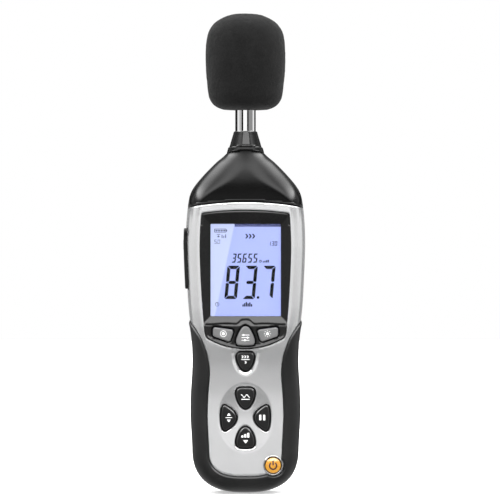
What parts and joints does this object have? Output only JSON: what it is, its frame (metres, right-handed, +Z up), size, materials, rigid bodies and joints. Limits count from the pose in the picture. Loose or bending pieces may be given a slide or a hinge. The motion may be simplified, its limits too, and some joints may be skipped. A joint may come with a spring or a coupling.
{
  "type": "sound level meter",
  "caption": "Upright hand-held sound level meter with a rubber grip, a lit display, shaped keys and a foam windscreen on a metal microphone tube.",
  "frame": {"origin": "centre of the tripod thread's mouth on the back, 143 mm above the base", "axes": "+Z up along the microphone, front face towards -Y, +X to the right as seen from the front, +Y out of the tripod thread"},
  "size_m": [0.0752, 0.0494, 0.2965],
  "materials": {
    "grey_shell": "satin silver-grey",
    "black_shell": "fine texture, satin",
    "grip_rubber": "smooth matt rubber",
    "bezel_black": "satin",
    "dark_key": "smooth matt",
    "grey_key": "smooth matt",
    "power_key": "satin",
    "ring_metal": "satin chrome",
    "lens": "clear",
    "lcd": "glossy film",
    "light_guide": "translucent white",
    "zebra": "matt",
    "circuit_board": "green solder mask",
    "components": "matt moulded",
    "silicone_mat": "matt",
    "tube_metal": "polished",
    "capsule_metal": "satin",
    "diaphragm_foil": "bright",
    "lead": "matt",
    "seal": "matt",
    "foam": "open-cell foam",
    "cell": "printed sleeve",
    "contact": "nickel plated",
    "pad": "foam rubber",
    "screw_steel": "zinc plated",
    "brass_insert": "turned",
    "flap": "matt",
    "port_black": "satin",
    "socket_steel": "tinned",
    "trimmer_blue": "gloss",
    "rotor_white": "satin",
    "plate_silver": "satin film"
  },
  "bodies": {
    "meter": {"front_casing": "grey_shell", "rear_casing": "black_shell", "nose_cover": "black_shell", "front_grip": "grip_rubber", "rear_grip": "grip_rubber", "neck_collar": "black_shell", "display_bezel": "bezel_black", "display_lens": "lens", "lcd_glass": "lcd", "lcd_backlight": "light_guide", "lcd_connector": "zebra", "main_board": "circuit_board", "board_components": "components", "keypad_mat": "silicone_mat", "power_key_ring": "ring_metal", "mic_tube": "tube_metal", "mic_capsule": "capsule_metal", "mic_diaphragm": "diaphragm_foil", "mic_grid": "capsule_metal", "mic_lead": "lead", "preamp_board": "circuit_board", "tube_seal": "seal", "battery_holder": "black_shell", "battery_upper_left": "cell", "battery_upper_right": "cell", "battery_lower_left": "cell", "battery_lower_right": "cell", "battery_plates": "contact", "battery_springs": "contact", "casing_screws": "screw_steel", "tripod_insert": "brass_insert", "port_cover_anchor": "flap", "port_panel": "port_black", "usb_socket": "socket_steel", "dc_jack": "port_black", "output_jack": "port_black", "trimmer_body": "trimmer_blue", "rating_plate": "plate_silver"},
    "windscreen": {"windscreen": "foam"},
    "key_record": {"key_record": "grey_key"},
    "key_setup": {"key_setup": "grey_key"},
    "key_backlight": {"key_backlight": "grey_key"},
    "key_time_weighting": {"key_time_weighting": "dark_key"},
    "key_frequency_weighting": {"key_frequency_weighting": "dark_key"},
    "key_max_min": {"key_max_min": "dark_key"},
    "key_hold": {"key_hold": "dark_key"},
    "key_level_range": {"key_level_range": "dark_key"},
    "key_power": {"key_power": "power_key"},
    "battery_door": {"battery_door": "black_shell", "battery_door_pad": "pad"},
    "battery_door_screw": {"battery_door_screw": "screw_steel"},
    "port_cover": {"port_cover": "flap"},
    "trimmer_rotor": {"trimmer_rotor": "rotor_white"}
  },
  "joints": [
    {"name": "windscreen_slide", "type": "slide", "parent": "meter", "child": "windscreen", "axis": [0, 0, 1], "range_m": [0, 0.06]},
    {"name": "key_record_press", "type": "slide", "parent": "meter", "child": "key_record", "axis": [0, 1, 0], "range_m": [0, 0.0008], "stiffness_N_per_m": 1500, "springref_m": -0.0003},
    {"name": "key_setup_press", "type": "slide", "parent": "meter", "child": "key_setup", "axis": [0, 1, 0], "range_m": [0, 0.0008], "stiffness_N_per_m": 1500, "springref_m": -0.0003},
    {"name": "key_backlight_press", "type": "slide", "parent": "meter", "child": "key_backlight", "axis": [0, 1, 0], "range_m": [0, 0.0008], "stiffness_N_per_m": 1500, "springref_m": -0.0003},
    {"name": "key_time_weighting_press", "type": "slide", "parent": "meter", "child": "key_time_weighting", "axis": [0, 1, 0], "range_m": [0, 0.0008], "stiffness_N_per_m": 1500, "springref_m": -0.0003},
    {"name": "key_frequency_weighting_press", "type": "slide", "parent": "meter", "child": "key_frequency_weighting", "axis": [0, 1, 0], "range_m": [0, 0.0008], "stiffness_N_per_m": 1500, "springref_m": -0.0003},
    {"name": "key_max_min_press", "type": "slide", "parent": "meter", "child": "key_max_min", "axis": [0, 1, 0], "range_m": [0, 0.0008], "stiffness_N_per_m": 1500, "springref_m": -0.0003},
    {"name": "key_hold_press", "type": "slide", "parent": "meter", "child": "key_hold", "axis": [0, 1, 0], "range_m": [0, 0.0008], "stiffness_N_per_m": 1500, "springref_m": -0.0003},
    {"name": "key_level_range_press", "type": "slide", "parent": "meter", "child": "key_level_range", "axis": [0, 1, 0], "range_m": [0, 0.0008], "stiffness_N_per_m": 1500, "springref_m": -0.0003},
    {"name": "key_power_press", "type": "slide", "parent": "meter", "child": "key_power", "axis": [0, 1, 0], "range_m": [0, 0.0008], "stiffness_N_per_m": 1500, "springref_m": -0.0003},
    {"name": "port_cover_hinge", "type": "hinge", "parent": "meter", "child": "port_cover", "pos_m": [-0.0382, -0.0175, 0.00175], "axis": [0, 0, -1], "range_deg": [0, 120]},
    {"name": "battery_door_hinge", "type": "hinge", "parent": "meter", "child": "battery_door", "pos_m": [0, 0, -0.1253], "axis": [-1, 0, 0], "range_deg": [0, 60]},
    {"name": "battery_door_screw_turn", "type": "hinge", "parent": "battery_door", "child": "battery_door_screw", "pos_m": [0, 0, -0.0152], "axis": [0, 1, 0], "continuous": true},
    {"name": "trimmer_turn", "type": "hinge", "parent": "meter", "child": "trimmer_rotor", "pos_m": [-0.031, -0.024, -0.0125], "axis": [-1, 0, 0], "range_deg": [-135, 135]}
  ]
}
